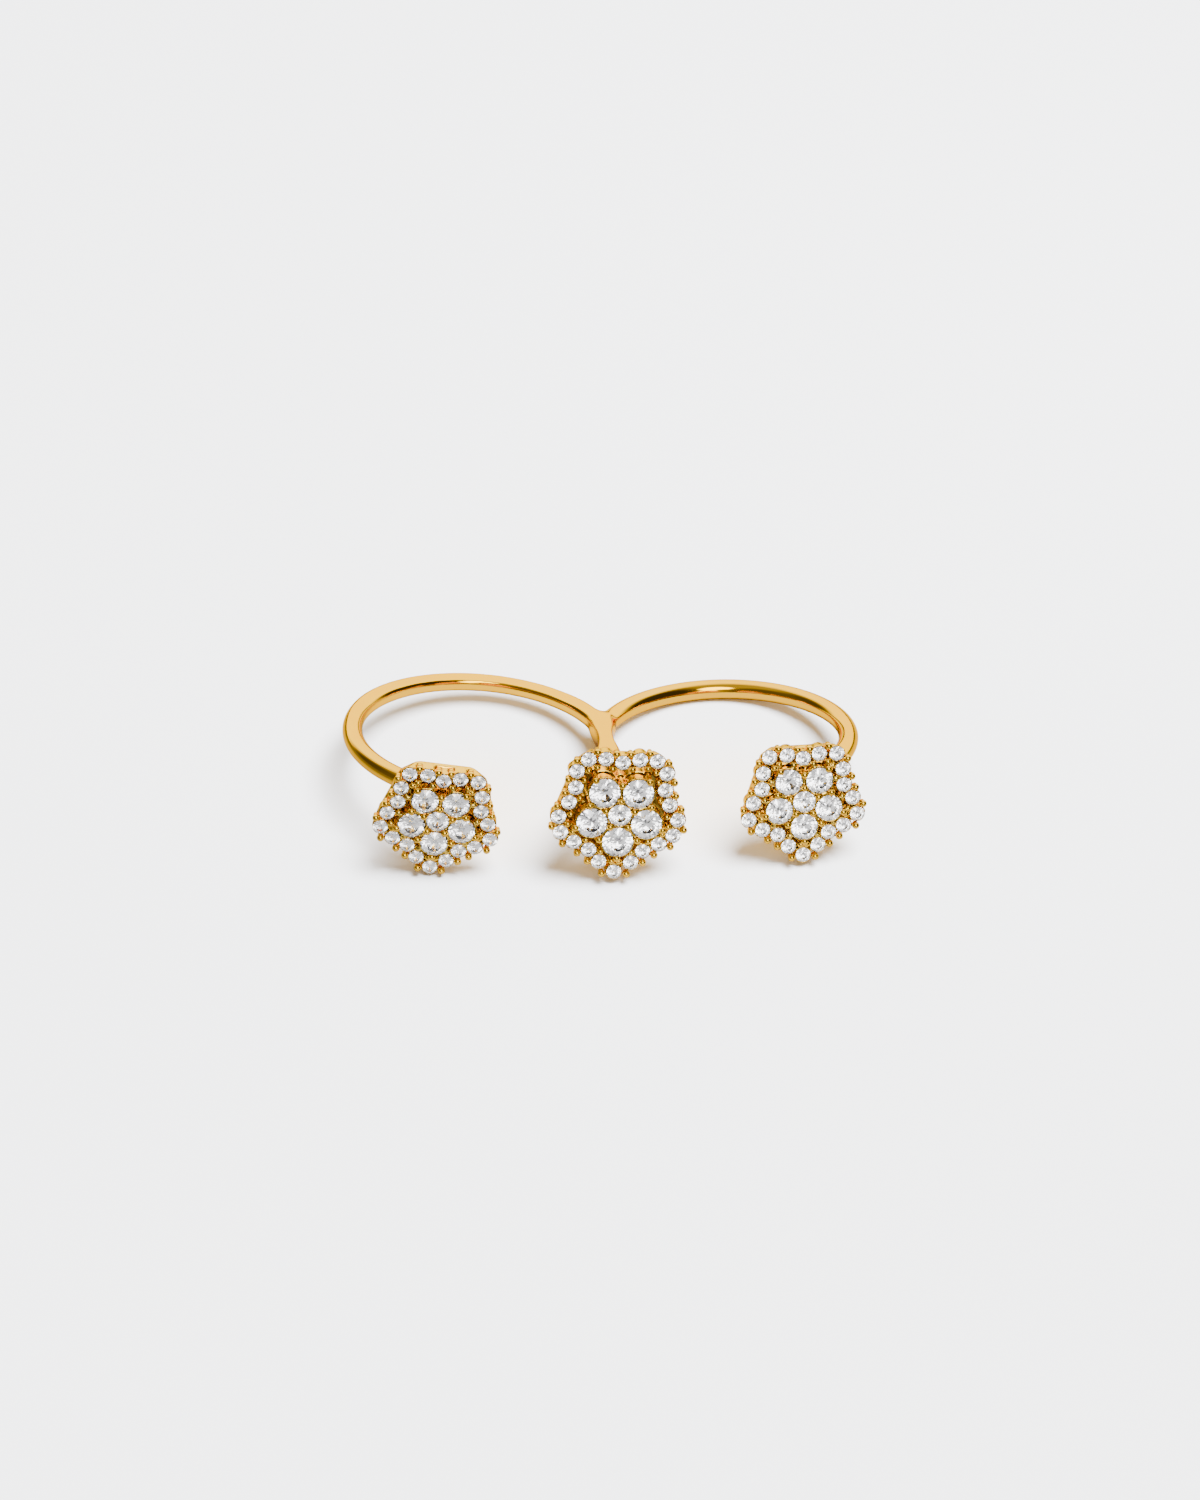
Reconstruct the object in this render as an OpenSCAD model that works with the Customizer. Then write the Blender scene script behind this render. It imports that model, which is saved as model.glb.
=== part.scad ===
// Two finger ring: two round-wire bands soldered side by side, with a stone-set flower at each open end and
// one over the joint. It lies on its side, finger openings upward, as it rests by itself. Millimetres.

/* [Bands] */
// Thickness of the round wire that the bands are bent from
wire_d = 1.5; // [1.3:0.05:2]
// Finger opening of the left band
left_finger_d = 17.8; // [16:0.1:20]
// Finger opening of the right band
right_finger_d = 17.1; // [16:0.1:20]
// Width of the metal between the two finger openings at the solder joint
joint_w = 1; // [0.8:0.05:1.3]
// How far each wire is filed back behind the inside of the other band
joint_relief = 0.1; // [0.06:0.02:0.2]
// Rise of the left band towards its outer side, in degrees
left_fold = 3; // [0:0.1:5]
// Rise of the right band towards its outer side, in degrees
right_fold = 2.5; // [0:0.1:5]
// Tilt of the left band's front against the joint, in degrees
left_twist = 1.7; // [-3:0.1:3]
// Tilt of the right band's front against the joint, in degrees
right_twist = -1.8; // [-3:0.1:3]
// How far outboard of its band's front the left band meets its setting, in degrees
left_outboard = 22; // [16:0.5:34]
// How far outboard of its band's front the right band meets its setting, in degrees
right_outboard = 30; // [16:0.5:34]
// How far each band runs on behind its outer setting, in degrees
solder_run = 10; // [6:1:14]
// Angle at which each band's inner leg runs forward from the joint, in degrees
leg_angle = 22; // [18:0.5:26]

/* [Settings] */
// Distance from the joint forward to the back of the middle setting
middle_front = 10; // [9.5:0.1:10.5]
// Depth of a setting, from its back to the level of the halo stones' girdles
setting_depth = 1.25; // [1.1:0.05:1.7]
// Thickness of a setting's back plate
plate_t = 0.45; // [0.3:0.05:0.6]
// How far the upper corners are drawn in at the back
corner_taper = 0.5; // [0.2:0.05:0.6]
// How deep a band's wire sinks into the back plate where it is soldered
solder_depth = 0.3; // [0.2:0.05:0.4]
// Width of the metal left round each stone
seat_wall = 0.07; // [0.05:0.01:0.12]
// Diameter of the ball prongs
prong_d = 0.54; // [0.46:0.02:0.6]
// Height of the prong tops over the stones' girdles
prong_rise = 0.36; // [0.34:0.02:0.4]

/* [Stones] */
// Diameter of the petal stones in the left and right settings
petal_d = 2; // [1.8:0.05:2.1]
// Diameter of the petal stones in the middle setting
middle_petal_d = 2.3; // [2:0.05:2.4]
// Diameter of the centre stones of the left and right settings
centre_d = 1.66; // [1.4:0.02:1.8]
// Diameter of the centre stone of the middle setting
middle_centre_d = 1.7; // [1.5:0.02:1.9]
// Diameter of the halo stones
halo_d = 1.12; // [1:0.01:1.14]
// Gap between the centre stone and the petals
flower_gap = 0.13; // [0.1:0.01:0.2]
// Distance from a side setting's middle to its corner stones
halo_corner_r = 4.3; // [4.25:0.05:4.7]
// Distance from the middle setting's middle to its lowest corner stone
middle_corner_r = 4.8; // [4.75:0.05:5.2]
// Height of the side settings' petals over their halo
flower_rise = 0.43; // [0.3:0.01:0.7]
// Height of the middle setting's petals over its halo
middle_flower_rise = 0.7; // [0.4:0.01:0.9]
// Clearance between each stone and its seat
stone_clearance = 0.04; // [0.03:0.01:0.06]

/* [Hidden] */
SETTINGS = ["left", "middle", "right"];
LEFT = 0;
MIDDLE = 1;
RIGHT = 2;
PETALS = 5;

// Smoothness of the round walls and of the wires
$fn = 32;
wire_fn = 96;

GOLD = [0.90, 0.72, 0.36];
STONE = [0.93, 0.94, 0.97];

// A setting's face: its turn towards the right, its upward nod, its roll, and how far its middle hangs below
// the wire that carries it.
//              turn   nod   roll  hang
POSES = [
    /* left */   [-4,  -6.7, -6.6, 1.35],
    /* middle */ [1,    3,   -2.8, 0.4],
    /* right */  [3.9,  6.9,  1.4, 1.2]
];
TURN = 0;
NOD = 1;
ROLL = 2;
HANG = 3;

// Halo rows: angle round the setting and distance as a share of the corner distance. A side setting repeats
// its row at each of five corners. The middle setting mirrors its row, whose right-hand corner has two stones.
SIDE_ROW = [[-17.3, 0.87], [0, 1], [17.3, 0.87], [36, 0.755]];
MIDDLE_ROW = [
    [73, 0.9], [58, 1], [43, 0.95], [28.5, 0.79], [9.5, 0.79], [-7, 0.93],
    [-23, 0.95], [-38.5, 0.84], [-57, 0.77], [-73.5, 0.875]
];
MIDDLE_TOP = 0.81;
CORNERS = [126, 54, -18, -90, -162];

// Proportions of the cut stones, as shares of their diameter
TABLE = 0.54;
CROWN = 0.13;
GIRDLE = 0.04;
PAVILION = 0.41;
// Distances of the crown's and the pavilion's middle rows of corners, as shares of the radius
STAR_R = 0.79;
LOWER_R = 0.3;
// Main facets round a stone
MAINS = 8;
// A tip prong's distance past its petal, and the metal's reach round an outer prong, in prong radii
TIP_OUT = 0.4;
PRONG_FOOT = 0.8;
// How low the corner cone's axis lies, as a share of the taper
CONE_DROP = 0.6;

wire_r = wire_d / 2;
prong_r = prong_d / 2;
// Distance from a setting's halo level back to the middle of the wire that carries it
standoff = setting_depth + wire_r - solder_depth;
// Distance of a prong from the line through the halo stones' middles
prong_out = halo_d / 2 + stone_clearance;
// Angle between neighbouring petals, halved
PETAL_HALF = 180 / PETALS;

function petal_size(s) = s == MIDDLE ? middle_petal_d : petal_d;
function centre_size(s) = s == MIDDLE ? middle_centre_d : centre_d;
function rise(s) = s == MIDDLE ? middle_flower_rise : flower_rise;
function petal_ring(s) = (petal_size(s) + centre_size(s)) / 2 + flower_gap;
function polar(r, a) = [r * cos(a), r * sin(a)];

// Middles of a setting's halo stones, in order round it, and of its petal stones
function side_halo() = [for (c = CORNERS) for (p = SIDE_ROW) polar(halo_corner_r * p[1], c - p[0])];
function middle_halo_points() = concat(
    [polar(middle_corner_r * MIDDLE_TOP, 90)],
    [for (p = MIDDLE_ROW) polar(middle_corner_r * p[1], p[0])],
    [polar(middle_corner_r, -90)],
    [for (i = [len(MIDDLE_ROW) - 1:-1:0]) polar(middle_corner_r * MIDDLE_ROW[i][1], 180 - MIDDLE_ROW[i][0])]
);
function halo_points(s) = s == MIDDLE ? middle_halo_points() : side_halo();
function petal_points(s) = [for (c = CORNERS) polar(petal_ring(s), c)];

// Prongs between halo stones: one outside and one inside each gap
function unit(v) = v / norm(v);
function gap_prongs(points, side) = [
    for (i = [0:len(points) - 1])
        let (a = points[i], b = points[(i + 1) % len(points)], d = unit(b - a))
            (a + b) / 2 + side * prong_out * [-d[1], d[0]]
];
// Prongs of the flower: round the centre stone, in the petals' outer notches and at their tips
function flower_prongs(s) = let (
    inner = centre_size(s) / 2 + prong_r,
    half = petal_ring(s) * cos(PETAL_HALF),
    side = petal_ring(s) * sin(PETAL_HALF),
    reach = petal_size(s) / 2 + prong_r,
    notch = half + sqrt(max(reach * reach - side * side, 0)),
    tip = tip_ring(s)
) [
    for (c = CORNERS)
        each [polar(inner, c + PETAL_HALF), polar(notch, c + PETAL_HALF), polar(tip, c)]
];
function tip_ring(s) = petal_ring(s) + petal_size(s) / 2 + prong_r * TIP_OUT;

// Middle of each band's circle from the joint, before the bands are folded
function finger_r(s) = (s == LEFT ? left_finger_d : right_finger_d) / 2;
function band_x(s) = side_of(s) * (finger_r(s) + joint_w / 2);
function band_r(s) = finger_r(s) + wire_r;
function outboard(s) = s == LEFT ? left_outboard : right_outboard;
function band_turn(s) = s == LEFT ? [left_twist, left_fold, 0] : [right_twist, -right_fold, 0];
function side_of(s) = s - MIDDLE;

// Rotation matrices, so that points can be followed through the turns that the modules make
function rot_x(a) = [[1, 0, 0], [0, cos(a), -sin(a)], [0, sin(a), cos(a)]];
function rot_y(a) = [[cos(a), 0, sin(a)], [0, 1, 0], [-sin(a), 0, cos(a)]];
function rot_z(a) = [[cos(a), -sin(a), 0], [sin(a), cos(a), 0], [0, 0, 1]];
function turn_matrix(r) = rot_z(r[2]) * rot_y(r[1]) * rot_x(r[0]);
function transposed(m) = [for (i = [0:2]) [m[0][i], m[1][i], m[2][i]]];

// Where each setting's wire carries it, and which way it faces, with the joint at the origin
function carrier(s) = s == MIDDLE
    ? [0, -middle_front + standoff - setting_depth, 0]
    : turn_matrix(band_turn(s)) * [
        band_x(s) + side_of(s) * band_r(s) * sin(outboard(s)),
        -band_r(s) * cos(outboard(s)),
        0
    ];
function facing(s) = rot_z(POSES[s][TURN]) * rot_x(90 - POSES[s][NOD]) * rot_z(POSES[s][ROLL]);
function seat_point(s, p) = carrier(s) + facing(s) * (p + [0, -POSES[s][HANG], standoff]);

// How far a setting and a band reach in direction d: the rim of the back plate, the prong balls, the wire
function disc_reach(m, n, r, d) = m * d + r * sqrt(max(1 - (n * d) * (n * d), 0));
function rim_r() = halo_d / 2 + stone_clearance + seat_wall;
function setting_reach(s, d) = let (n = facing(s) * [0, 0, 1], pts = halo_points(s)) max(concat(
    [for (p = pts) disc_reach(seat_point(s, [p[0], p[1], -setting_depth]), n, rim_r(), d)],
    [for (p = gap_prongs(pts, 1)) seat_point(s, [p[0], p[1], prong_rise - prong_r]) * d + prong_r],
    [for (p = flower_prongs(s)) seat_point(s, [p[0], p[1], rise(s) + prong_rise - prong_r]) * d + prong_r]
));
function band_reach(s, d) = let (m = turn_matrix(band_turn(s)))
    disc_reach(m * [band_x(s), 0, 0], m * [0, 0, 1], band_r(s), d) + wire_r;
function whole_reach(d) = max(
    setting_reach(LEFT, d), setting_reach(MIDDLE, d), setting_reach(RIGHT, d),
    band_reach(LEFT, d), band_reach(RIGHT, d)
);

// The turn that lays the ring on its floor: both outer settings, or the middle one where it hangs lower, and
// the lower band's back touch it. Each step corrects the last one's height differences.
REST_STEPS = 14;
REST_GUESS = [-12, 3];
function rest_turn(a, b, steps) = steps == 0 ? [a, b, 0] : let (
    down = transposed(turn_matrix([a, b, 0])) * [0, 0, -1],
    left = setting_reach(LEFT, down),
    right = setting_reach(RIGHT, down),
    front = max((left + right) / 2, setting_reach(MIDDLE, down)),
    back = max(band_reach(LEFT, down), band_reach(RIGHT, down)),
    span = carrier(RIGHT)[0] - carrier(LEFT)[0],
    depth = band_r(LEFT) - carrier(LEFT)[1]
) rest_turn(
    a - asin((front - back) / depth),
    b + asin((left - right) / span),
    steps - 1
);
REST = rest_turn(REST_GUESS[0], REST_GUESS[1], REST_STEPS);
function in_ring(d) = transposed(turn_matrix(REST)) * d;
function middle_of(d) = (whole_reach(in_ring(d)) - whole_reach(in_ring(-d))) / 2;
LAY = [-middle_of([1, 0, 0]), -middle_of([0, 1, 0]), whole_reach(in_ring([0, 0, -1]))];

// The ring as it lies, and one setting's own frame: x to the right, y up, z out of the face, halo level at 0
module lying() {
    translate(LAY) rotate(REST) children();
}
module in_setting(s) {
    translate(carrier(s))
        rotate([0, 0, POSES[s][TURN]])
            rotate([90 - POSES[s][NOD], 0, 0])
                rotate([0, 0, POSES[s][ROLL]])
                    translate([0, -POSES[s][HANG], standoff])
                        children();
}

// A band's own frame: its middle at the origin, the joint to the right, the settings towards -y
module in_band(s) {
    rotate(band_turn(s)) translate([band_x(s), 0, 0]) mirror([s == RIGHT ? 1 : 0, 0, 0]) children();
}
// The round wire from the joint round the back to the outer setting, and its leg to the middle one
module wire(s) {
    r = band_r(s);
    leg = (middle_front + wire_r - r * sin(leg_angle)) / cos(leg_angle);
    in_band(s) rotate([0, 0, -leg_angle]) {
        rotate_extrude(angle = 270 - outboard(s) + solder_run + leg_angle, $fn = wire_fn)
            translate([r, 0]) circle(r = wire_r);
        translate([r, 0, 0]) rotate([90, 0, 0]) cylinder(h = leg, r = wire_r);
    }
}
// The space of a finger, and the space in front of the solder line in a setting's back plate
module finger_space(s) {
    in_band(s) cylinder(h = 4 * wire_d, r = finger_r(s) + joint_relief, center = true);
}
module past_solder(s) {
    w = middle_corner_r + wire_d;
    translate([-w, -w, solder_depth - setting_depth]) cube([2 * w, 2 * w, w]);
}
module band(s) {
    difference() {
        wire(s);
        finger_space(s == LEFT ? RIGHT : LEFT);
        for (t = [s, MIDDLE])
            in_setting(t) past_solder();
    }
}

// Outline of a halo wall, on its outer (side 1) or inner (side -1) edge
function wall_edge(s, side) = let (pts = halo_points(s), n = len(pts), prongs = gap_prongs(pts, side)) [
    for (i = [0:n - 1])
        let (d = unit(pts[(i + 1) % n] - pts[(i + n - 1) % n]), out = side * [-d[1], d[0]],
             along = unit(pts[(i + 1) % n] - pts[i]))
            each [pts[i] + rim_r() * out, prongs[i] + side * prong_r * [-along[1], along[0]]]
];

// A cone that draws the upper corners in towards the back, its axis low enough to clear the lowest corner
module corner_cone(s, depth) {
    reach = (s == MIDDLE ? middle_corner_r : halo_corner_r) + rim_r();
    low = corner_taper * CONE_DROP;
    corner = norm(polar(reach, CORNERS[0]) + [0, low]);
    translate([0, -low, 0]) cylinder(h = depth, r1 = corner - corner_taper, r2 = corner + stone_clearance);
}

// A round stone's envelope with its clearance, open upward, to cut its seat and trim the prongs round it
module seat_cut(d) {
    r = d / 2 + stone_clearance;
    girdle = GIRDLE * d / 2 + stone_clearance;
    crown = girdle + CROWN * d;
    rotate_extrude()
        polygon([
            [0, -girdle - PAVILION * d], [r, -girdle], [r, girdle],
            [r * TABLE, crown], [r * TABLE, crown + prong_d], [0, crown + prong_d]
        ]);
}
module prong() {
    sphere(r = prong_r);
}

// A setting's metal, its halo girdles at 0 and its back towards -z, and the seats cut for its stones
module setting_metal(s) {
    top = setting_depth - stone_clearance;
    points = halo_points(s);
    translate([0, 0, -setting_depth]) {
        difference() {
            intersection() {
                linear_extrude(top) polygon(wall_edge(s, 1));
                corner_cone(s, top);
            }
            translate([0, 0, plate_t]) linear_extrude(setting_depth) polygon(wall_edge(s, -1));
        }
        linear_extrude(top + rise(s)) flower_outline(s);
    }
    for (side = [-1, 1], p = gap_prongs(points, side))
        translate([p[0], p[1], prong_rise - prong_r]) prong();
    for (p = flower_prongs(s))
        translate([p[0], p[1], rise(s) + prong_rise - prong_r]) prong();
}
module seats(s) {
    for (p = halo_points(s))
        translate([p[0], p[1], 0]) seat_cut(halo_d);
    for (p = petal_points(s))
        translate([p[0], p[1], rise(s)]) seat_cut(petal_size(s));
    translate([0, 0, rise(s)]) seat_cut(centre_size(s));
}
module flower_outline(s) {
    notch = norm(flower_prongs(s)[1]);
    circle(r = notch + prong_r * PRONG_FOOT);
    for (p = petal_points(s))
        translate(p) circle(r = petal_size(s) / 2 + stone_clearance + seat_wall);
    for (c = CORNERS)
        translate(polar(tip_ring(s), c)) circle(r = prong_r);
}

// Cut stones, girdle at 0: rows of corners at radius r and height z, the first one turned by a
function corners(n, r, z, a = 0) = [
    for (i = [0:n - 1])
        let (turn = 360 * i / n + a)
            [r * cos(turn), r * sin(turn), z]
];

// Brilliant cut: a table, star, kite and half facets above, half and main facets below
module brilliant(d) {
    r = d / 2;
    g = GIRDLE * r;
    half = 180 / MAINS;
    star_z = g + CROWN * d * (1 - STAR_R * cos(half)) / (1 - TABLE);
    lower_z = -g - PAVILION * d * (1 - LOWER_R * cos(half));
    points = concat(
        corners(MAINS, r * TABLE, g + CROWN * d),
        corners(MAINS, r * STAR_R, star_z, half),
        corners(2 * MAINS, r, g),
        corners(2 * MAINS, r, -g),
        corners(MAINS, r * LOWER_R, lower_z, half),
        [[0, 0, -g - PAVILION * d]]
    );
    star = MAINS;
    upper = 2 * MAINS;
    lower = 4 * MAINS;
    main = 6 * MAINS;
    culet = 7 * MAINS;
    ring = [0:MAINS - 1];
    faces = concat(
        [[for (i = ring) MAINS - 1 - i]],
        [for (i = ring) [i, (i + 1) % MAINS, star + i]],
        [for (i = ring) [i, star + i, upper + 2 * i, star + (i + MAINS - 1) % MAINS]],
        [for (i = ring) [star + i, upper + 2 * i + 1, upper + 2 * i]],
        [for (i = ring) [star + i, upper + (2 * i + 2) % (2 * MAINS), upper + 2 * i + 1]],
        [for (i = [0:2 * MAINS - 1])
            [upper + i, upper + (i + 1) % (2 * MAINS), lower + (i + 1) % (2 * MAINS), lower + i]],
        [for (i = ring) [main + i, lower + 2 * i, lower + 2 * i + 1]],
        [for (i = ring) [main + i, lower + 2 * i + 1, lower + (2 * i + 2) % (2 * MAINS)]],
        [for (i = ring) [culet, main + (i + MAINS - 1) % MAINS, lower + 2 * i, main + i]]
    );
    polyhedron(points, faces);
}
// Single cut: a table and one row of facets above and below, for the small stones
module single_cut(d) {
    r = d / 2;
    g = GIRDLE * r;
    points = concat(
        corners(MAINS, r * TABLE, g + CROWN * d),
        corners(MAINS, r, g),
        corners(MAINS, r, -g),
        [[0, 0, -g - PAVILION * d]]
    );
    ring = [0:MAINS - 1];
    faces = concat(
        [[for (i = ring) MAINS - 1 - i]],
        [for (k = [0, MAINS], i = ring)
            [k + i, k + (i + 1) % MAINS, k + MAINS + (i + 1) % MAINS, k + MAINS + i]],
        [for (i = ring) [3 * MAINS, 2 * MAINS + i, 2 * MAINS + (i + 1) % MAINS]]
    );
    polyhedron(points, faces);
}

module ring_frame() {
    color(GOLD) lying() difference() {
        union() {
            band(LEFT);
            band(RIGHT);
            in_setting(LEFT) setting_metal(LEFT);
            in_setting(MIDDLE) setting_metal(MIDDLE);
            in_setting(RIGHT) setting_metal(RIGHT);
        }
        in_setting(LEFT) seats(LEFT);
        in_setting(MIDDLE) seats(MIDDLE);
        in_setting(RIGHT) seats(RIGHT);
    }
}
module petal(s, k) {
    p = petal_points(s)[k - 1];
    color(STONE) lying() in_setting(s)
        translate([p[0], p[1], rise(s)]) rotate(atan2(p[1], p[0])) brilliant(petal_size(s));
}
module centre(s) {
    color(STONE) lying() in_setting(s) translate([0, 0, rise(s)]) brilliant(centre_size(s));
}
module halo(s) {
    color(STONE) lying() in_setting(s)
        for (p = halo_points(s))
            translate(p) rotate(atan2(p[1], p[0])) single_cut(halo_d);
}

ring_frame();
for (s = [LEFT:RIGHT], k = [1:PETALS])
    petal(s, k);
for (s = [LEFT:RIGHT])
    centre(s);
for (s = [LEFT:RIGHT])
    halo(s);
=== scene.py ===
"""The two finger ring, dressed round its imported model.

The metal is found again as smooth surfaces on distance functions, from the model's own sizes and from the
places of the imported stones. Lengths are millimetres until a mesh is placed, and named angles are degrees.
"""
import math

import bpy
import numpy as np
from mathutils import Matrix, Vector


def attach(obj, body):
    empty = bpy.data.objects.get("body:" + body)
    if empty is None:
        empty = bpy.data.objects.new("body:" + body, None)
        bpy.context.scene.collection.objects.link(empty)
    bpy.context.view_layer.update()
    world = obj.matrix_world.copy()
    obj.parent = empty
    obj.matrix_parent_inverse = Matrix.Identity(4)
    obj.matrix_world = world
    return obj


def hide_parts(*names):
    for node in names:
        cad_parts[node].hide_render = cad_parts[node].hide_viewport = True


MM = 0.001
SIDES = ("left", "middle", "right")

# Sizes of the bands, as the model has them
WIRE_R = 0.75
FINGER_R = {"left": 8.9, "right": 8.55}
JOINT_W = 1.0
JOINT_RELIEF = 0.1
FOLD = {"left": 3.0, "right": -2.5}
TWIST = {"left": 1.7, "right": -1.8}
OUTBOARD = {"left": 22, "right": 30}
SOLDER_RUN = 10
LEG_ANGLE = 22
MIDDLE_FRONT = 10.0
LEG_OVERRUN = 0.2

# The joint: how the bands blend, and the limit on its height, which widens past FLAT_FROM
JOINT_BLEND = 0.9
JOINT_TRIM = 0.12
FLAT_FROM = 2.5
FLAT_SLOPE = 0.06
FLAT_ROUND = 0.1

# Solder where wires meet the plates: its reach, and how the wires end inside a plate
PAD_R = {"left": 1.9, "middle": 1.1, "right": 1.9}
PAD_BLEND = 0.6
PAD_SINK = 0.05
PAD_DEPTH = 1.2
MIDDLE_PADS = (-2.9, 2.9)
END_SINK = 0.25
END_REACH = 3.2
END_ROUND = 0.04

# Sizes of the settings
SETTING_DEPTH = 1.25
PLATE_T = 0.45
PLATE_OVER = {"left": 0.5, "middle": 0.25, "right": 0.4}
CORNER_TAPER = 0.5
CLEARANCE = 0.04
SEAT_WALL = 0.07
WALL_OVERLAP = 0.1
BASKET_TAPER = 0.22
POST_R = 0.2
POST_RUN = 0.45
PRONG_R = 0.27
PRONG_RISE = 0.36
INNER_PRONG = 0.92
PETAL_PRONG = 0.4
PETALS = 5
SIDE_NORMALS = (90, 18, -54, -126, 162)
UPPER_CORNERS = (126, 54, -18, -162)

# Rounded edges and soldered corners of the settings
OUTLINE_ROUND = 0.5
CORNER_ROUND = 0.2
PLATE_ROUND = 0.15
WALL_ROUND = 0.08
POST_ROUND = 0.05
SEAT_ROUND = 0.03
WALL_WELD = 0.12
POST_WELD = 0.1
PRONG_WELD = 0.08
FLOWER_WELD = 0.15

# Painted shade in the pocket inside a halo, a darker and yellower gold there: its start, its run to the full
# shade, and its foot
POCKET_START = 0.1
POCKET_RUN = 0.3
POCKET_FOOT = 0.2
FLOWER_OVER = 0.45

# The stones' cut
TABLE = 0.54
CROWN = 0.13
GIRDLE = 0.04
PAVILION = 0.41
STAR_R = 0.79
LOWER_R = 0.3
MAINS = 8

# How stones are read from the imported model, and by how many radians each halo stone is spun past the last
MERGE_DIGITS = 4
GIRDLE_SHARE = 0.97
HALO_SPIN = 0.9

# Grids on which the surfaces are found
BAND_STEP = 0.1
BAND_BOX = ((-20.2, -11.4, -2.6), (19.6, 10.8, 2.6))
SETTING_STEP = 0.07
SETTING_MARGIN = 1.1
FACE_MARGIN = 0.1

# The floor pose of the ring: turn about x and y, then the joint's place
REST = (-14.2047, 1.63643)
JOINT_AT = (0.320612, 1.36795, 3.19206)

# Metal: its two tones, and its least and most roughness
WIRE_GOLD = ((0.88, 0.445, 0.006, 1), (0.94, 0.485, 0.01, 1))
WIRE_HAZE = (0.06, 0.1)
CAST_GOLD = ((0.90, 0.505, 0.035, 1), (0.96, 0.55, 0.05, 1))
CAST_HAZE = (0.15, 0.23)
# Painted shade for the halo's pockets: a darker, yellower gold mixed in by the pocket mask
POCKET_SHADE_COLOUR = (0.76, 0.52, 0.085, 1)
EDGE_TINT = (1, 0.72, 0.25, 1)
GRAIN_STRENGTH = 0.04
GRAIN_DEPTH = 0.00002

# Stone
STONE_TONES = ((0.975, 0.965, 0.98, 1), (1.0, 0.98, 0.96, 1))
STONE_HAZE = (0.0, 0.02)
STONE_IOR = 2.2

# Noises that drift the tones, the haze and the grain, each by its scale and its detail
METAL_TONE_NOISE = (260, 2)
METAL_HAZE_NOISE = (900, 4)
METAL_GRAIN_NOISE = (5200, 3)
STONE_TONE_NOISE = (700, 2)
STONE_HAZE_NOISE = (2400, 2)
PAPER_NOISE = (9, 2)

# Floor: its paper, painted warm light inside the loops, painted brighter light on its far side, and its
# greys in reflections
PAPER = ((0.86, 0.865, 0.87, 1), (0.89, 0.893, 0.9, 1))
# A spot is the place of its middle and its reach
LOOP_SPOTS = ((-9.6, -1, 9), (9.2, -1, 9))
LOOP_GLOW = (1.0, 0.84, 0.64, 1)
# Painted light on the far side of the floor: its spot and its colour
FAR_LIGHT_SPOT = (60, 60, 120)
FAR_PAINTED_LIGHT = (0.98, 0.99, 1.0, 1)
MIRROR_SPOT = (4, 12, 70)
MIRROR_FADE = (0.35, 0.75)
MIRROR_GREYS = (0.05, 0.38)
FLOOR_HALF = 3000
FLOOR_ROUGHNESS = 0.9

# Camera: its place, its axes and its lens
CAMERA_AT = (-34.762, -345.51, 289.312)
CAMERA_RIGHT = (0.9966, -0.078, 0.0263)
CAMERA_UP = (0.0293, 0.6352, 0.7718)
CAMERA_BACK = (-0.0769, -0.7684, 0.6353)
LENS = 179.955
SENSOR = 36
CLIP_START = 0.01

# The key light: its azimuth and elevation, and the angle that it fills
KEY_FROM = (-22, 73)
KEY_SPREAD = 36
KEY_POWER = 15.3
KEY_COLOUR = (1, 1.035, 1.085)

# The room: its level, what it adds inside the stones, and how it dims and warms the shadows
STUDIO_LEVEL = 0.6
STONE_FILL = 1.1
SHADE_DEPTH = 0.6
SHADE_COLOUR = (1, 0.77, 0.52, 1)
# Azimuth and elevation of each patch, the angles where it is full and where it ends, and its strength
PATCHES = (
    (80, 22, 40, 70, 3.2),
    (172, 10, 16, 46, 0.1),
    (-140, 8, 32, 52, 0.14),
    (-22, 20, 28, 56, 0.05),
    (-86, 47, 11, 18, 9.0),
    (-78, 24, 6, 11, 8.0),
)

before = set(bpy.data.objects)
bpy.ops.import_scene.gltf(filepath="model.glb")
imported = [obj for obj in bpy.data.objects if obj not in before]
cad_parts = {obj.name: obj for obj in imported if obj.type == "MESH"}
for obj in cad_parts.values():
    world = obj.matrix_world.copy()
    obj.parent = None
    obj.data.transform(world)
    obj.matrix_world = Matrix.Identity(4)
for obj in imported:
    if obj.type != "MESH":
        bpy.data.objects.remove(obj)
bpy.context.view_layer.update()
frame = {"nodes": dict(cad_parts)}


# Turns and directions
def rot_x(a):
    c, s = math.cos(math.radians(a)), math.sin(math.radians(a))
    return np.array([[1, 0, 0], [0, c, -s], [0, s, c]])


def rot_y(a):
    c, s = math.cos(math.radians(a)), math.sin(math.radians(a))
    return np.array([[c, 0, s], [0, 1, 0], [-s, 0, c]])


def polar(r, a):
    return np.array([r * math.cos(math.radians(a)), r * math.sin(math.radians(a))])


def toward(azimuth, elevation):
    a, e = math.radians(azimuth), math.radians(elevation)
    return (math.cos(a) * math.cos(e), math.sin(a) * math.cos(e), math.sin(e))


LYING = rot_y(REST[1]) @ rot_x(REST[0])


def ring_to_lying(points):
    return points @ LYING.T + np.array(JOINT_AT)


def lying_to_ring(points):
    return (np.asarray(points) - np.array(JOINT_AT)) @ LYING


# Blends of distances
def smooth_min(a, b, k):
    h = np.maximum(k - np.abs(a - b), 0) / k
    return np.minimum(a, b) - h * h * k * 0.25


def smooth_max(a, b, k):
    return -smooth_min(-a, -b, k)


def nearest(x, y, places):
    """Distance in a plane to the nearest of some places."""
    best = None
    for p in places:
        d = np.hypot(x - p[0], y - p[1])
        best = d if best is None else np.minimum(best, d)
    return best


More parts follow.
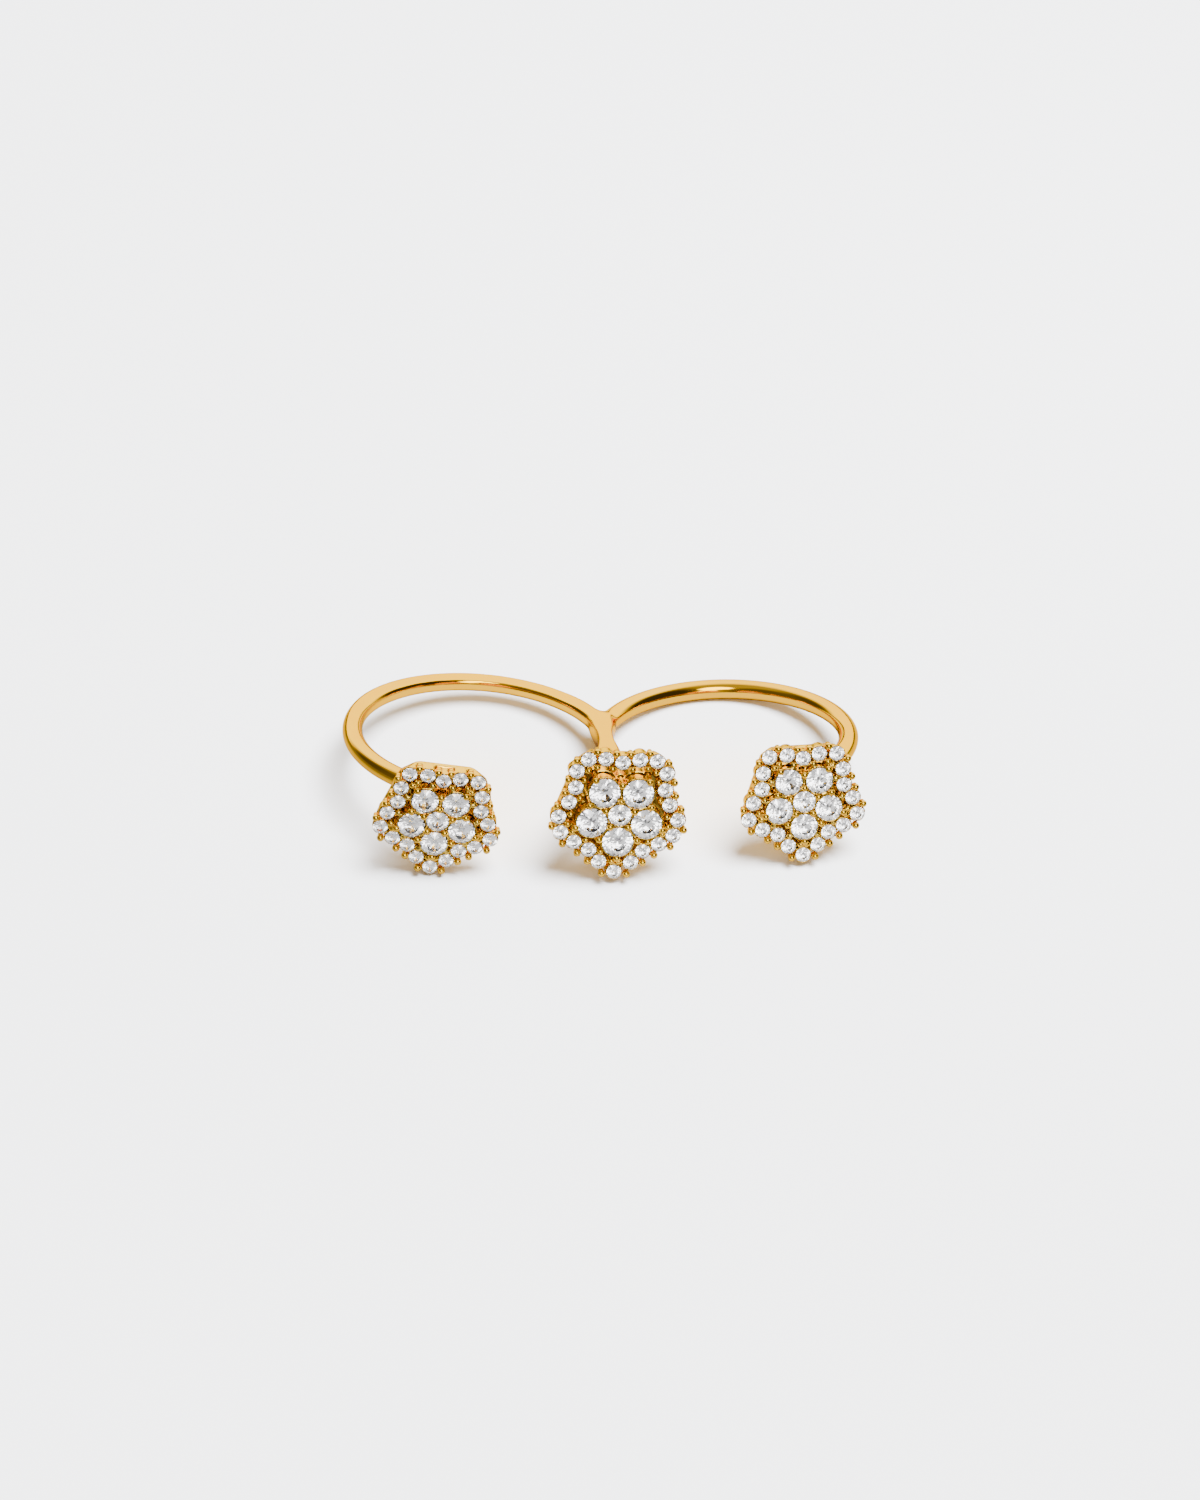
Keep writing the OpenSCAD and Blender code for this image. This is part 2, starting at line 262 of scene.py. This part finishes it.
# Surfaces from distance functions
def surface(distance, low, high, step):
    """Quads on the zero level of distance(x, y, z), with their corners moved onto it exactly."""
    axes = [np.arange(a, b + step, step) for a, b in zip(low, high)]
    grid = distance(
        axes[0][:, None, None], axes[1][None, :, None], axes[2][None, None, :]
    ).astype(np.float32)
    inside = grid < 0
    cells = tuple(n - 1 for n in grid.shape)
    total = np.zeros(cells + (3,), np.float32)
    count = np.zeros(cells, np.float32)

    # Each grid edge that crosses the surface adds its crossing to the four cells round it
    crossings = []
    for axis in range(3):
        lo = [slice(None)] * 3
        hi = [slice(None)] * 3
        lo[axis] = slice(0, -1)
        hi[axis] = slice(1, None)
        a, b = grid[tuple(lo)], grid[tuple(hi)]
        at = np.argwhere(inside[tuple(lo)] != inside[tuple(hi)])
        t = a[tuple(at.T)] / (a[tuple(at.T)] - b[tuple(at.T)])
        place = at.astype(np.float32)
        place[:, axis] += t
        crossings.append((axis, at, inside[tuple(lo)][tuple(at.T)]))
        u, v = [k for k in range(3) if k != axis]
        for du in (0, 1):
            for dv in (0, 1):
                cell = at.copy()
                cell[:, u] -= du
                cell[:, v] -= dv
                ok = np.all((cell >= 0) & (cell < cells), axis=1)
                index = tuple(cell[ok].T)
                np.add.at(total, index, place[ok])
                np.add.at(count, index, 1)

    # A crossed cell holds one point, and each crossed edge makes a quad of its cells' points
    used = count > 0
    number = np.full(cells, -1, np.int64)
    number[used] = np.arange(int(used.sum()))
    points = total[used] / count[used][:, None] * step + np.array(low, np.float32)
    quads = []
    for axis, at, solid in crossings:
        u, v = [k for k in range(3) if k != axis]
        ring = []
        for du, dv in ((1, 1), (0, 1), (0, 0), (1, 0)):
            cell = at.copy()
            cell[:, u] -= du
            cell[:, v] -= dv
            ring.append(number[tuple(np.clip(cell, 0, np.array(cells) - 1).T)])
        quad = np.stack(ring, 1)
        flip = solid if axis == 1 else ~solid
        quad[flip] = quad[flip][:, ::-1]
        quads.append(quad)
    return settle(distance, points.astype(float), step), np.concatenate(quads)


def settle(distance, points, step, rounds=3, probe=0.1, least_slope=0.5, most_move=0.5):
    """Moves points along the distance's slope onto its zero level.

    Of the shares of a step, probe is half the length that a slope is measured over, and most_move the
    longest move along an axis.
    """
    h = step * probe
    for _ in range(rounds):
        x, y, z = points.T
        d = distance(x, y, z)
        slope = np.stack([
            distance(x + h, y, z) - distance(x - h, y, z),
            distance(x, y + h, z) - distance(x, y - h, z),
            distance(x, y, z + h) - distance(x, y, z - h),
        ], 1) / (2 * h)
        size = np.maximum((slope ** 2).sum(1), least_slope ** 2)
        move = -(d / size)[:, None] * slope
        points = points + np.clip(move, -step * most_move, step * most_move)
    return points


def add_mesh(name, points, faces, material, smooth):
    """A mesh object from points in millimetres, lying where the model lies."""
    mesh = bpy.data.meshes.new(name)
    mesh.from_pydata((np.asarray(points) * MM).tolist(), [], [list(map(int, f)) for f in faces])
    mesh.validate()
    mesh.polygons.foreach_set("use_smooth", [smooth] * len(mesh.polygons))
    mesh.materials.append(material)
    mesh.update()
    piece = bpy.data.objects.new(name, mesh)
    bpy.context.scene.collection.objects.link(piece)
    return piece


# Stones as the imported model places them
def loose_solids(obj):
    """The corners of each separate solid of a node, in millimetres."""
    flat = np.empty(len(obj.data.vertices) * 3)
    obj.data.vertices.foreach_get("co", flat)
    corners = np.round(flat.reshape(-1, 3) / MM, MERGE_DIGITS)
    points, number = np.unique(corners, axis=0, return_inverse=True)
    number = number.ravel()
    label = np.arange(len(points))
    rings = [number[list(polygon.vertices)] for polygon in obj.data.polygons]
    settled = False
    while not settled:
        settled = True
        for ring in rings:
            low = label[ring].min()
            if (label[ring] != low).any():
                label[ring] = low
                settled = False
    return [points[label == k] for k in np.unique(label)]


def stone_place(points):
    """Middle of a stone's girdle, its axis out of the table, and its radius."""
    middle = points.mean(0)
    axis = np.linalg.svd(points - middle)[2][2]
    height = (points - middle) @ axis
    if abs(height.min()) < abs(height.max()):
        axis = -axis
    far = np.linalg.norm(np.cross(points - middle, axis), axis=1)
    girdle = far > far.max() * GIRDLE_SHARE
    return points[girdle].mean(0), axis, far[girdle].mean()


class Setting:
    """One setting's own frame, x to the right, y up, z out of the face, and where its stones are in it."""

    def __init__(self, side):
        self.side = side
        nodes = frame["nodes"]
        centre, axis, self.centre_r = stone_place(loose_solids(nodes[side + "_centre"])[0])
        petals = [stone_place(loose_solids(nodes["%s_petal_%d" % (side, k + 1)])[0]) for k in range(PETALS)]
        halo = [stone_place(solid) for solid in loose_solids(nodes[side + "_halo"])]
        out = np.mean([p[1] for p in petals] + [axis], 0)
        out /= np.linalg.norm(out)
        down = petals[3][0] - centre
        up = -(down - (down @ out) * out)
        up /= np.linalg.norm(up)
        self.turn = np.stack([np.cross(up, out), up, out])
        level = np.mean([self.turn[2] @ h[0] for h in halo])
        self.origin = centre + out * (level - out @ centre)
        self.petal_r = float(np.mean([p[2] for p in petals]))
        self.halo_r = float(np.mean([h[2] for h in halo]))
        self.petals = np.array([self.local(p[0]) for p in petals])
        halo = np.array([self.local(h[0]) for h in halo])
        self.halo = halo[np.argsort(-np.arctan2(halo[:, 1], halo[:, 0]))]
        self.rise = float(self.local(centre)[2])
        self.ring = float(np.linalg.norm(self.petals[:, :2], axis=1).mean())

    def local(self, p):
        return self.turn @ (np.asarray(p) - self.origin)

    def world(self, p):
        return np.asarray(p) @ self.turn + self.origin

    def past(self, x, y, angle):
        """Distance past the halo stones' middles in one direction."""
        n = polar(1, angle)
        return x * n[0] + y * n[1] - float((self.halo[:, :2] @ n).max())


# The settings' metal
def gap_prongs(setting, side):
    """A prong in each gap of the halo row, on its outer or inner side."""
    here = setting.halo[:, :2]
    there = np.roll(here, -1, 0)
    along = (there - here) / np.linalg.norm(there - here, axis=1)[:, None]
    out = np.stack([-along[:, 1], along[:, 0]], 1)
    return (here + there) / 2 + side * (setting.halo_r + CLEARANCE) * out


def flower_prongs(setting):
    """Prongs round the centre stone, in the notches between petals, and at each petal's outer end."""
    half = 180 / PETALS
    reach = setting.petal_r + PRONG_R
    across = setting.ring * math.sin(math.radians(half))
    notch = setting.ring * math.cos(math.radians(half)) + math.sqrt(reach ** 2 - across ** 2)
    places = []
    for p in setting.petals:
        a = math.degrees(math.atan2(p[1], p[0]))
        places += [
            polar(setting.centre_r + PRONG_R, a + half),
            polar(notch, a + half),
            polar(setting.ring + setting.petal_r + PRONG_R * PETAL_PRONG, a),
        ]
    return np.array(places)


def envelope(rho, z, r):
    """Distance to a stone's round envelope with its clearance, open upward over the table."""
    full = r + CLEARANCE
    girdle = GIRDLE * r + CLEARANCE
    crown_h = CROWN * 2 * r
    crown_w = full * (1 - TABLE)
    slope = math.hypot(crown_h, crown_w)
    crown = ((rho - full) * crown_h + (z - girdle) * crown_w) / slope
    deep = PAVILION * 2 * r
    slope = math.hypot(deep, full)
    pavilion = ((rho - full) * deep - (z + girdle) * full) / slope
    return np.maximum(np.maximum(rho - full, crown), pavilion)


def setting_distance(setting):
    """The distance function of a setting's metal, in the setting's own frame."""
    outer, inner = gap_prongs(setting, 1), gap_prongs(setting, -1)
    flower = flower_prongs(setting)
    halo, petals = setting.halo[:, :2], setting.petals[:, :2]
    rim = setting.halo_r + CLEARANCE + SEAT_WALL * 0.5
    basket_r = setting.petal_r + CLEARANCE + SEAT_WALL
    rise = setting.rise
    top, bottom = -CLEARANCE, -SETTING_DEPTH
    plate_top, foot = bottom + PLATE_T, bottom + PLATE_T / 2
    ball_at = PRONG_RISE - PRONG_R

    def outline(x, y, angles):
        best = None
        for a in angles:
            side = setting.past(x, y, a)
            best = side if best is None else smooth_max(best, side, OUTLINE_ROUND)
        return best

    def distance(x, y, z):
        def slab(flat, low, high, k):
            return smooth_max(flat, np.maximum(z - high, low - z), k)

        def ball(flat, level, r):
            return np.hypot(flat, z - level) - r

        row = nearest(x, y, halo)
        gap_out, gap_in = nearest(x, y, outer), nearest(x, y, inner)
        petal, middle = nearest(x, y, petals), np.hypot(x, y)
        post = nearest(x, y, flower)

        # The plate, the halo's wall on it, and its prongs
        corners = outline(x, y, UPPER_CORNERS) - rim + CORNER_TAPER * (top - z) / SETTING_DEPTH
        sides = outline(x, y, SIDE_NORMALS) - PLATE_OVER[setting.side]
        plate = slab(smooth_max(sides, corners, CORNER_ROUND), bottom, plate_top, PLATE_ROUND)
        wall = slab(row - rim, plate_top - WALL_OVERLAP, top, WALL_ROUND)
        wall = smooth_max(wall, corners, PLATE_ROUND)
        posts = slab(np.minimum(gap_out - POST_R, gap_in - POST_R), -POST_RUN, ball_at, POST_ROUND)
        balls = np.minimum(ball(gap_out, ball_at, PRONG_R), ball(gap_in, ball_at, PRONG_R * INNER_PRONG))
        halo_metal = smooth_min(smooth_min(plate, wall, WALL_WELD), posts, POST_WELD)
        halo_metal = smooth_min(halo_metal, balls, PRONG_WELD)

        # The flower's basket and its prongs
        taper = BASKET_TAPER * np.clip((rise - z) / (rise + SETTING_DEPTH), 0, 1)
        flat = np.minimum(petal - basket_r, middle - setting.ring) + taper
        basket = slab(flat, foot, top + rise, WALL_ROUND)
        stems = slab(post - POST_R, foot, rise + ball_at, POST_ROUND)
        tips = ball(post, rise + ball_at, PRONG_R)
        flower_metal = smooth_min(smooth_min(basket, stems, POST_WELD), tips, PRONG_WELD)

        metal = smooth_min(halo_metal, flower_metal, FLOWER_WELD)
        seats = np.minimum(
            envelope(row, z, setting.halo_r),
            np.minimum(
                envelope(petal, z - rise, setting.petal_r),
                envelope(middle, z - rise, setting.centre_r),
            ),
        )
        return smooth_max(metal, -seats, SEAT_ROUND)
    return distance


def pocket_depth(setting, points):
    """Mask of painted shade in the pocket inside the halo: how deep points lie, 0 on what stands out and 1
    well below it.
    """
    x, y, z = points.T
    row = np.max([setting.past(x, y, a) for a in SIDE_NORMALS], 0)
    raised = nearest(x, y, setting.petals) < setting.petal_r + FLOWER_OVER
    depth = np.clip((np.where(raised, setting.rise, 0) + POCKET_START - z) / POCKET_RUN, 0, 1)
    return np.where((row < 0) & (z > POCKET_FOOT - SETTING_DEPTH), depth, 0)


# The bands
def outward(side):
    """The sign of x on which a band lies from the joint."""
    return 1 if side == "right" else -1


def band_turn(side):
    return rot_y(FOLD[side]) @ rot_x(TWIST[side])


def band_local(side, x, y, z):
    """A point of the ring in a band's own frame, its joint towards +x, the settings towards -y."""
    m = band_turn(side).T
    u, v, w = (m[i, 0] * x + m[i, 1] * y + m[i, 2] * z for i in range(3))
    u = u - outward(side) * (FINGER_R[side] + JOINT_W / 2)
    return -outward(side) * u, v, w


def end_angle(side):
    """Where a band's arc ends behind its outer setting, counted round from the joint."""
    return math.radians(270 - OUTBOARD[side] + SOLDER_RUN)


def band_end(side):
    """Where a band's wire meets its outer setting, in the ring's frame."""
    r, a = FINGER_R[side] + WIRE_R, end_angle(side)
    local = np.array([-outward(side) * r * math.cos(a), r * math.sin(a), 0])
    local[0] += outward(side) * (FINGER_R[side] + JOINT_W / 2)
    return band_turn(side) @ local


def wire_distance(side, x, y, z):
    """Distance to a band's round wire: its arc, and the straight leg from the arc to the middle setting."""
    u, v, w = band_local(side, x, y, z)
    r = FINGER_R[side] + WIRE_R
    leg, end = math.radians(LEG_ANGLE), end_angle(side)
    turn = np.mod(np.arctan2(v, u) + leg, 2 * math.pi)
    at_end = np.sqrt((u - r * math.cos(end)) ** 2 + (v - r * math.sin(end)) ** 2 + w ** 2)
    round_part = np.hypot(np.hypot(u, v) - r, w)
    length = (MIDDLE_FRONT + LEG_OVERRUN - r * math.sin(leg)) / math.cos(leg)
    du, dv = u - r * math.cos(leg), v + r * math.sin(leg)
    t = np.clip(-(du * math.sin(leg) + dv * math.cos(leg)), 0, length)
    straight = np.sqrt((du + t * math.sin(leg)) ** 2 + (dv + t * math.cos(leg)) ** 2 + w ** 2)
    return np.minimum(np.where(turn <= end + leg, round_part, at_end), straight) - WIRE_R


def finger_space(side, x, y, z):
    """Distance to a finger's opening with the joint's relief round it."""
    u, v, _ = band_local(side, x, y, z)
    return np.hypot(u, v) - FINGER_R[side] - JOINT_RELIEF


def bands_distance(pads):
    """The distance function of both bands, soldered to each other and to the plates, in the ring's frame."""
    def distance(x, y, z):
        left = smooth_max(wire_distance("left", x, y, z), -finger_space("right", x, y, z), JOINT_TRIM)
        right = smooth_max(wire_distance("right", x, y, z), -finger_space("left", x, y, z), JOINT_TRIM)
        both = smooth_min(left, right, JOINT_BLEND)
        flat = np.abs(z) - WIRE_R - FLAT_SLOPE * np.maximum(np.abs(x) - FLAT_FROM, 0)
        both = smooth_max(both, flat, FLAT_ROUND)
        for at, out, reach in pads:
            height = (x - at[0]) * out[0] + (y - at[1]) * out[1] + (z - at[2]) * out[2]
            far = np.sqrt((x - at[0]) ** 2 + (y - at[1]) ** 2 + (z - at[2]) ** 2)
            pad = np.maximum(smooth_min(both, PAD_SINK - height, PAD_BLEND), far - reach)
            both = np.where(height > -PAD_DEPTH, np.minimum(both, pad), both)
            both = np.where(far < END_REACH, smooth_max(both, height - END_SINK, END_ROUND), both)
        return both
    return distance


def solder_pads(settings):
    """Where wires meet plates: each place on a plate's back, the way out of its face, and its reach."""
    pads = []
    for side in SIDES:
        s = settings[side]
        out = s.turn[2] @ LYING
        back = lying_to_ring(s.world(np.array([0, 0, -SETTING_DEPTH])))
        if side == "middle":
            places = [lying_to_ring(s.world(np.array([x, 0, -SETTING_DEPTH]))) for x in MIDDLE_PADS]
            places = [np.array([p[0], p[1], 0]) for p in places]
        else:
            places = [band_end(side)]
        pads += [(at - ((at - back) @ out) * out, out, PAD_R[side]) for at in places]
    return pads


# Cut stones
def brilliant(r):
    """Corners and facets of a round brilliant, girdle at 0, table towards +z."""
    d = 2 * r
    g = GIRDLE * r
    half = math.pi / MAINS

    def row(n, radius, z, turn=0.0):
        angles = [2 * math.pi * i / n + turn for i in range(n)]
        return [(radius * math.cos(a), radius * math.sin(a), z) for a in angles]

    star_z = g + CROWN * d * (1 - STAR_R * math.cos(half)) / (1 - TABLE)
    lower_z = -g - PAVILION * d * (1 - LOWER_R * math.cos(half))
    points = (row(MAINS, r * TABLE, g + CROWN * d) + row(MAINS, r * STAR_R, star_z, half)
              + row(2 * MAINS, r, g) + row(2 * MAINS, r, -g)
              + row(MAINS, r * LOWER_R, lower_z, half) + [(0, 0, -g - PAVILION * d)])
    star, upper, lower, main, culet = MAINS, 2 * MAINS, 4 * MAINS, 6 * MAINS, 7 * MAINS
    faces = [list(range(MAINS))]
    for i in range(MAINS):
        j, before = (i + 1) % MAINS, (i + MAINS - 1) % MAINS
        u, v, w = 2 * i, 2 * i + 1, (2 * i + 2) % (2 * MAINS)
        faces += [
            [i, star + i, j], [i, star + before, upper + u, star + i],
            [star + i, upper + u, upper + v], [star + i, upper + v, upper + w],
            [upper + u, lower + u, lower + v, upper + v], [upper + v, lower + v, lower + w, upper + w],
            [main + i, lower + v, lower + u], [main + i, lower + w, lower + v],
            [culet, main + i, lower + u, main + before],
        ]
    return np.array(points), faces


def halo_stones(setting, material):
    """A setting's row of small stones as one mesh, each spun a little further than the last."""
    points, faces = [], []
    shape, facets = brilliant(setting.halo_r)
    for k, place in enumerate(setting.halo):
        c, s = math.cos(HALO_SPIN * k), math.sin(HALO_SPIN * k)
        spun = shape @ np.array([[c, s, 0], [-s, c, 0], [0, 0, 1]])
        faces += [[len(points) * len(shape) + i for i in f] for f in facets]
        points.append(setting.world(spun + place))
    return add_mesh(setting.side + "_halo_stones", np.concatenate(points), faces, material, False)


# Shader nodes
def new_material(name):
    material = bpy.data.materials.new(name)
    material.use_nodes = True
    nodes = material.node_tree.nodes
    nodes.clear()
    out = nodes.new("ShaderNodeOutputMaterial")
    shader = nodes.new("ShaderNodeBsdfPrincipled")
    material.node_tree.links.new(shader.outputs[0], out.inputs["Surface"])
    return material, shader


def feed(tree, part, socket):
    """Links a part to a socket, or sets the socket where the part is a plain value."""
    if hasattr(part, "default_value"):
        tree.links.new(part, socket)
    else:
        socket.default_value = part


def noise(tree, scale, detail):
    place = tree.nodes.new("ShaderNodeTexCoord")
    texture = tree.nodes.new("ShaderNodeTexNoise")
    texture.inputs["Scale"].default_value = scale
    texture.inputs["Detail"].default_value = detail
    tree.links.new(place.outputs["Object"], texture.inputs["Vector"])
    return texture.outputs["Fac"]


def fade(tree, source, low, high, start=0.3, end=0.7):
    """A colour that goes from low to high as the source goes from start to end."""
    node = tree.nodes.new("ShaderNodeValToRGB")
    tree.links.new(source, node.inputs["Fac"])
    for element, at, colour in zip(node.color_ramp.elements, (start, end), (low, high)):
        element.position = at
        element.color = colour
    return node.outputs["Color"]


def grey(level):
    return (level, level, level, 1)


def mix(tree, factor, a, b):
    """A colour mix whose parts are sockets or plain values."""
    node = tree.nodes.new("ShaderNodeMix")
    node.data_type = "RGBA"
    feed(tree, factor, node.inputs[0])
    feed(tree, a, node.inputs[6])
    feed(tree, b, node.inputs[7])
    return node.outputs[2]


def add_math(tree, operation, *parts):
    node = tree.nodes.new("ShaderNodeMath")
    node.operation = operation
    for socket, part in zip(node.inputs, parts):
        feed(tree, part, socket)
    return node.outputs[0]


def spot(tree, x, y, reach):
    """A round spot on the floor, 1 in its middle and 0 at its reach."""
    place = tree.nodes.new("ShaderNodeTexCoord")
    shift = tree.nodes.new("ShaderNodeMapping")
    shift.inputs["Location"].default_value = (-x / reach, -y / reach, 0)
    shift.inputs["Scale"].default_value = [1 / (reach * MM)] * 3
    gradient = tree.nodes.new("ShaderNodeTexGradient")
    gradient.gradient_type = "SPHERICAL"
    tree.links.new(place.outputs["Object"], shift.inputs["Vector"])
    tree.links.new(shift.outputs["Vector"], gradient.inputs["Vector"])
    return gradient.outputs["Fac"]


# Materials
def gold_material(name, tones, haze, pocket=None):
    """Yellow gold with a faint drift of tone, a soft haze and a very fine grain, and painted shade in
    pockets.
    """
    material, shader = new_material(name)
    tree = material.node_tree
    shader.inputs["Metallic"].default_value = 1
    shader.inputs["Specular Tint"].default_value = EDGE_TINT
    colour = fade(tree, noise(tree, *METAL_TONE_NOISE), *tones)
    if pocket:
        # Painted shade: the pocket colour is mixed in where points lie deep in a halo's pocket
        depth = tree.nodes.new("ShaderNodeAttribute")
        depth.attribute_name = "depth"
        colour = mix(tree, depth.outputs["Fac"], colour, pocket)
    tree.links.new(colour, shader.inputs["Base Color"])
    roughness = fade(tree, noise(tree, *METAL_HAZE_NOISE), *map(grey, haze))
    tree.links.new(roughness, shader.inputs["Roughness"])
    bump = tree.nodes.new("ShaderNodeBump")
    bump.inputs["Strength"].default_value = GRAIN_STRENGTH
    bump.inputs["Distance"].default_value = GRAIN_DEPTH
    tree.links.new(noise(tree, *METAL_GRAIN_NOISE), bump.inputs["Height"])
    tree.links.new(bump.outputs["Normal"], shader.inputs["Normal"])
    return material


def stone_material():
    """Clear cut stone, with a trace of tone inside."""
    material, shader = new_material("clear_stone")
    tree = material.node_tree
    colour = fade(tree, noise(tree, *STONE_TONE_NOISE), *STONE_TONES)
    tree.links.new(colour, shader.inputs["Base Color"])
    roughness = fade(tree, noise(tree, *STONE_HAZE_NOISE), *map(grey, STONE_HAZE))
    tree.links.new(roughness, shader.inputs["Roughness"])
    shader.inputs["Transmission Weight"].default_value = 1
    shader.inputs["IOR"].default_value = STONE_IOR
    return material


def floor_material():
    """Pale paper with painted warm light inside the loops and painted brighter light on its far side, and
    greyer for reflections than for the camera.
    """
    material, shader = new_material("pale_floor")
    tree = material.node_tree
    paper = fade(tree, noise(tree, *PAPER_NOISE), *PAPER)
    # Painted light: a warm glow on the floor inside each loop
    for loop in LOOP_SPOTS:
        paper = mix(tree, spot(tree, *loop), paper, LOOP_GLOW)
    # Painted light: the floor brighter towards its far side
    paper = mix(tree, spot(tree, *FAR_LIGHT_SPOT), paper, FAR_PAINTED_LIGHT)
    path = tree.nodes.new("ShaderNodeLightPath")
    mirrored = fade(tree, spot(tree, *MIRROR_SPOT), *map(grey, MIRROR_GREYS), *MIRROR_FADE)
    seen = mix(tree, path.outputs["Is Camera Ray"], mirrored, paper)
    tree.links.new(seen, shader.inputs["Base Color"])
    shader.inputs["Roughness"].default_value = FLOOR_ROUGHNESS
    shader.inputs["Specular IOR Level"].default_value = 0
    return material


# Stage, light and camera
def add_camera():
    data = bpy.data.cameras.new("camera")
    data.sensor_fit = "HORIZONTAL"
    data.sensor_width = SENSOR
    data.lens = LENS
    data.clip_start = CLIP_START
    camera = bpy.data.objects.new("camera", data)
    axes = zip(CAMERA_RIGHT, CAMERA_UP, CAMERA_BACK, [x * MM for x in CAMERA_AT])
    camera.matrix_world = Matrix([*axes, (0, 0, 0, 1)])
    bpy.context.scene.collection.objects.link(camera)
    bpy.context.scene.camera = camera


def add_floor():
    corners = [(-1, -1, 0), (1, -1, 0), (1, 1, 0), (-1, 1, 0)]
    floor = add_mesh("floor", np.array(corners) * FLOOR_HALF, [(0, 1, 2, 3)], floor_material(), False)


def add_key():
    """A broad soft light high on the front right, which reflections don't show."""
    data = bpy.data.lights.new("key", "SUN")
    data.angle = math.radians(KEY_SPREAD)
    data.energy = KEY_POWER
    data.color = KEY_COLOUR
    light = bpy.data.objects.new("key", data)
    light.rotation_euler = Vector(toward(*KEY_FROM)).to_track_quat("Z", "Y").to_euler()
    light.visible_glossy = False
    bpy.context.scene.collection.objects.link(light)


def add_studio():
    """The room round the ring: brightness by direction, mixed from soft round patches."""
    world = bpy.data.worlds.new("studio")
    world.use_nodes = True
    bpy.context.scene.world = world
    tree = world.node_tree
    place = tree.nodes.new("ShaderNodeTexCoord")
    level = STUDIO_LEVEL
    for azimuth, elevation, inner, outer, strength in PATCHES:
        dot = tree.nodes.new("ShaderNodeVectorMath")
        dot.operation = "DOT_PRODUCT"
        dot.inputs[1].default_value = toward(azimuth, elevation)
        tree.links.new(place.outputs["Generated"], dot.inputs[0])
        reach = tree.nodes.new("ShaderNodeMapRange")
        reach.interpolation_type = "SMOOTHSTEP"
        reach.inputs["From Min"].default_value = math.cos(math.radians(outer))
        reach.inputs["From Max"].default_value = math.cos(math.radians(inner))
        tree.links.new(dot.outputs["Value"], reach.inputs["Value"])
        blend = tree.nodes.new("ShaderNodeMix")
        tree.links.new(reach.outputs["Result"], blend.inputs[0])
        feed(tree, level, blend.inputs[2])
        blend.inputs[3].default_value = strength
        level = blend.outputs[0]
    path = tree.nodes.new("ShaderNodeLightPath")
    inside = add_math(tree, "MULTIPLY_ADD", path.outputs["Is Transmission Ray"], STONE_FILL, level)
    shade = add_math(tree, "MULTIPLY_ADD", path.outputs["Is Diffuse Ray"], -SHADE_DEPTH, 1)
    background = tree.nodes["Background"]
    tree.links.new(add_math(tree, "MULTIPLY", inside, shade), background.inputs["Strength"])
    colour = mix(tree, path.outputs["Is Diffuse Ray"], (1, 1, 1, 1), SHADE_COLOUR)
    tree.links.new(colour, background.inputs["Color"])


# The ring
def add_bands(settings, coarser, material):
    points, faces = surface(bands_distance(solder_pads(settings)), *BAND_BOX, BAND_STEP * coarser)
    bands = add_mesh("bands", ring_to_lying(points), faces, material, True)
    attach(bands, "root")
    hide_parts("ring_frame")


def add_setting(s, coarser, material):
    reach = float(np.linalg.norm(s.halo[:, :2], axis=1).max()) + SETTING_MARGIN
    low = (-reach, -reach, -SETTING_DEPTH - FACE_MARGIN)
    high = (reach, reach, s.rise + PRONG_RISE + FACE_MARGIN)
    points, faces = surface(setting_distance(s), low, high, SETTING_STEP * coarser)
    metal = add_mesh(s.side + "_setting", s.world(points), faces, material, True)
    # Painted shade mask for the halo's pockets, stored on each point of the setting
    depth = metal.data.attributes.new("depth", "FLOAT", "POINT")
    depth.data.foreach_set("value", pocket_depth(s, points))
    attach(metal, "root")
    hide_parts("ring_frame")


def add_halo(s, material):
    stones = halo_stones(s, material)
    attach(stones, "root")
    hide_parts(s.side + "_halo")


def build():
    wire_gold = gold_material("polished_gold", WIRE_GOLD, WIRE_HAZE)
    cast_gold = gold_material("setting_gold_pocket_shade", CAST_GOLD, CAST_HAZE, POCKET_SHADE_COLOUR)
    stone = stone_material()
    settings = {side: Setting(side) for side in SIDES}
    coarser = 1.0
    add_bands(settings, coarser, wire_gold)
    for side in SIDES:
        add_setting(settings[side], coarser, cast_gold)
        add_halo(settings[side], stone)
    for name, node in frame["nodes"].items():
        if "petal" in name or "centre" in name:
            node.data.materials.clear()
            node.data.materials.append(stone)


add_camera()
add_floor()
add_studio()
add_key()
build()
